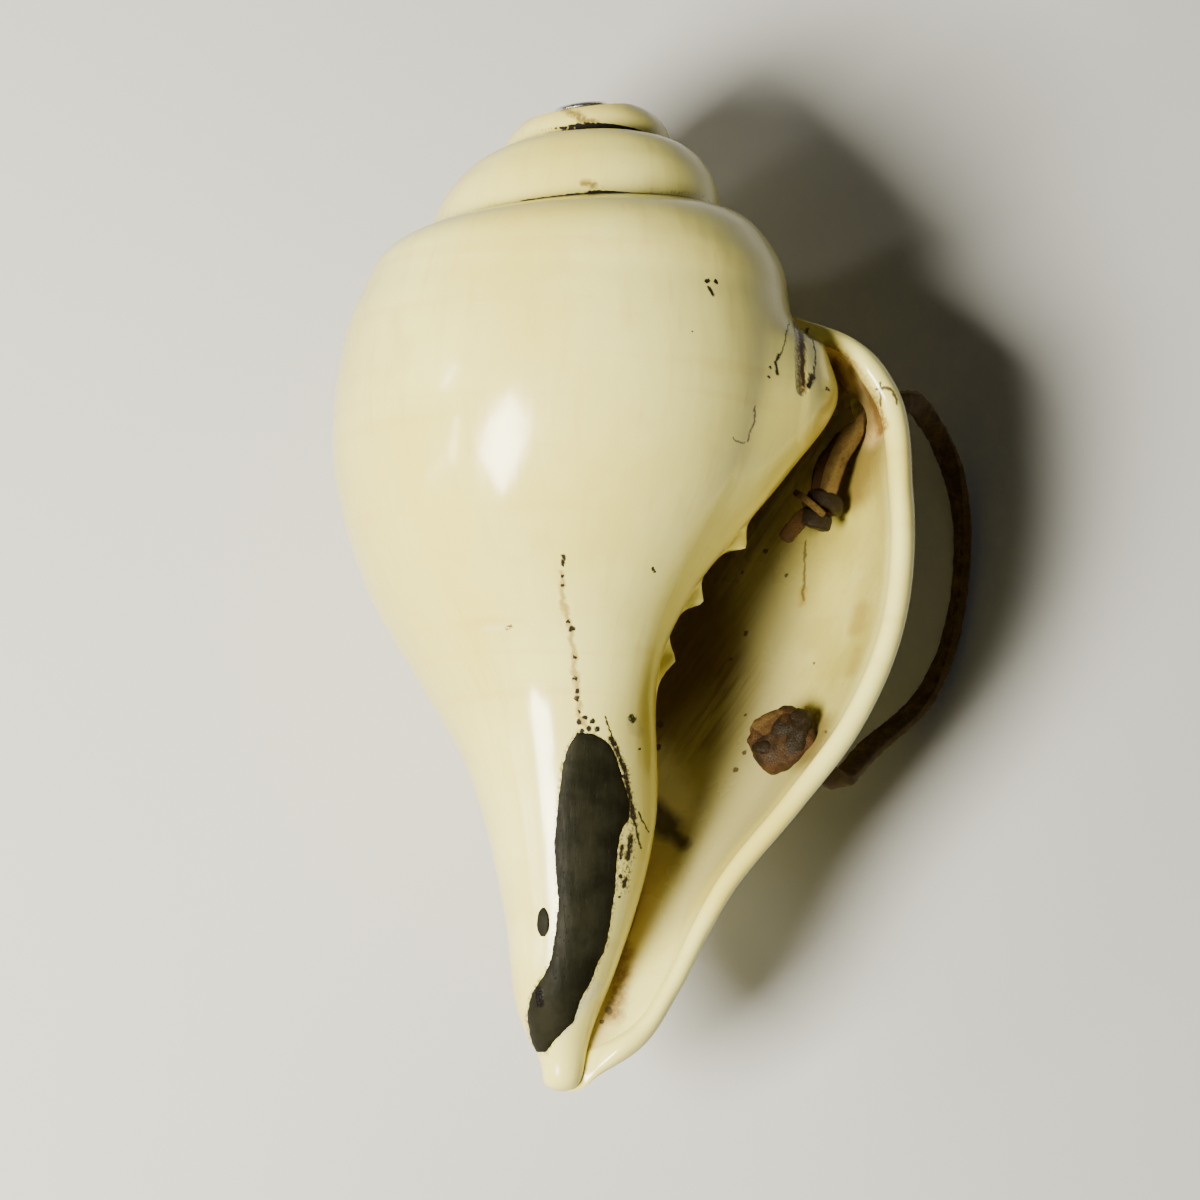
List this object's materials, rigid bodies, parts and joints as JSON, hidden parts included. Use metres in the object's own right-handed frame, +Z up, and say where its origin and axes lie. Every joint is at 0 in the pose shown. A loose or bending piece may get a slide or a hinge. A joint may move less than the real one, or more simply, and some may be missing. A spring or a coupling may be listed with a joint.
{
  "type": "conch shell trumpet",
  "caption": "Conch shell trumpet lying on its back, opening up: smooth body, stepped spire with a mouth ring, dark fill on the canal and a leather thong looped through its outer wall.",
  "frame": {"origin": "centre of balance on the worn flat spot that the shell rests on", "axes": "+Z up, out of the opening's side; +Y towards the sawn apex, nearly along the shell's axis; +X towards the outer lip"},
  "size_m": [0.1254, 0.182, 0.0941],
  "materials": {
    "shell": "polished ivory-cream shell",
    "pitch": "satin dark pitch",
    "white_metal": "plain white metal",
    "leather": "worn brown leather, suede side showing"
  },
  "bodies": {
    "root": {"shell": "shell", "canal_patch": "pitch", "canal_dab": "pitch", "mouth_pitch": "pitch", "mouth_ring": "white_metal", "thong": "leather", "upper_knot": "leather", "lower_knot": "leather"}
  },
  "joints": []
}
